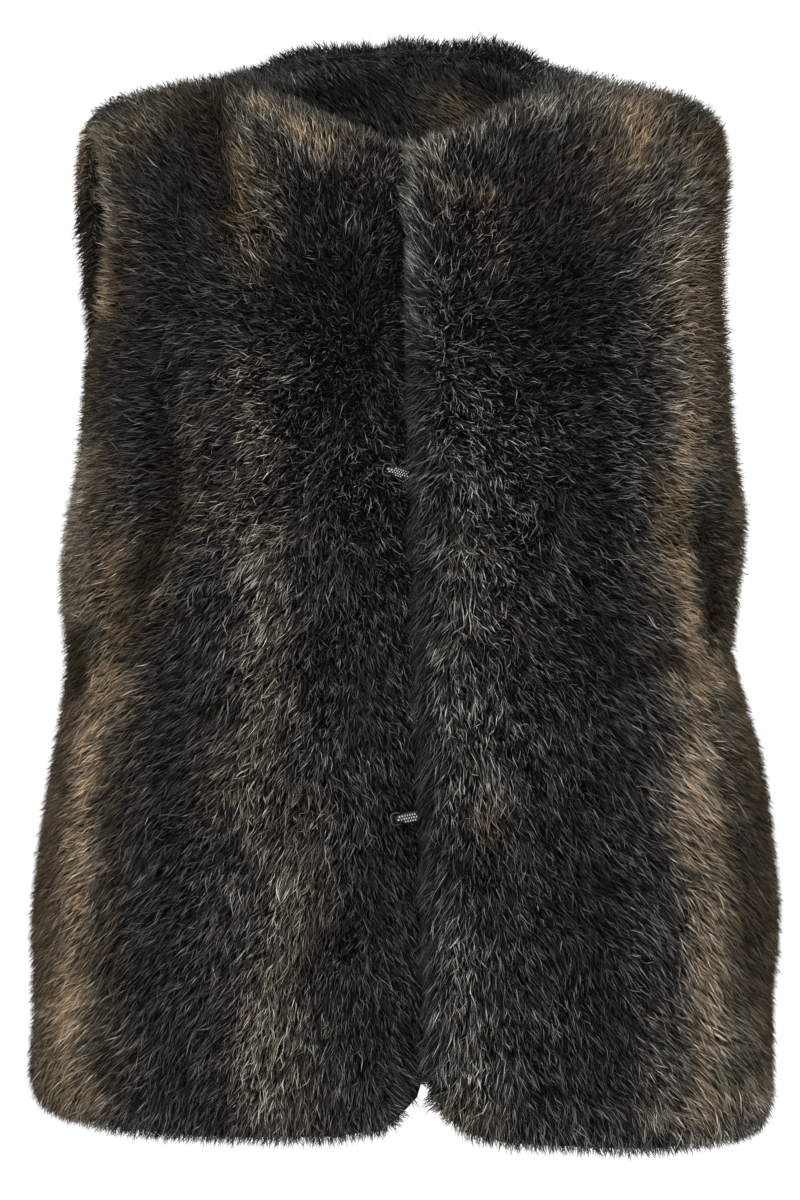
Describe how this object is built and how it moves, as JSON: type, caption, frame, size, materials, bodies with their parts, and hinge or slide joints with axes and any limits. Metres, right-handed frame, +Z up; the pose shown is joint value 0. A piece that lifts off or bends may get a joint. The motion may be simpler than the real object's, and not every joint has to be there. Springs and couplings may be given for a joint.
{
  "type": "fur gilet",
  "caption": "Sleeveless collarless gilet of striped deep-pile fur cloth in its worn hollow shape, open at neck, armholes and hem and closed edge to edge by hooks and eyes.",
  "frame": {"origin": "On the middle plane under the neck, level with the shoulder line, where the shoulders carry the gilet.", "axes": "+Z is up, -Y is the front, +X is the wearer's left."},
  "size_m": [0.4363, 0.2858, 0.6432],
  "materials": {
    "pile": "deep pile in charcoal and ash with tan stripes",
    "facing_pile": "deep pile, charcoal",
    "hook_thread": "black and silver thread braid",
    "eye_wire": "plain wire"
  },
  "bodies": {
    "root": {"front_left": "pile", "front_right": "pile", "back": "pile", "back_neck_facing": "facing_pile", "hook_upper": "hook_thread", "hook_lower": "hook_thread", "eye_upper": "eye_wire", "eye_lower": "eye_wire"}
  },
  "joints": []
}
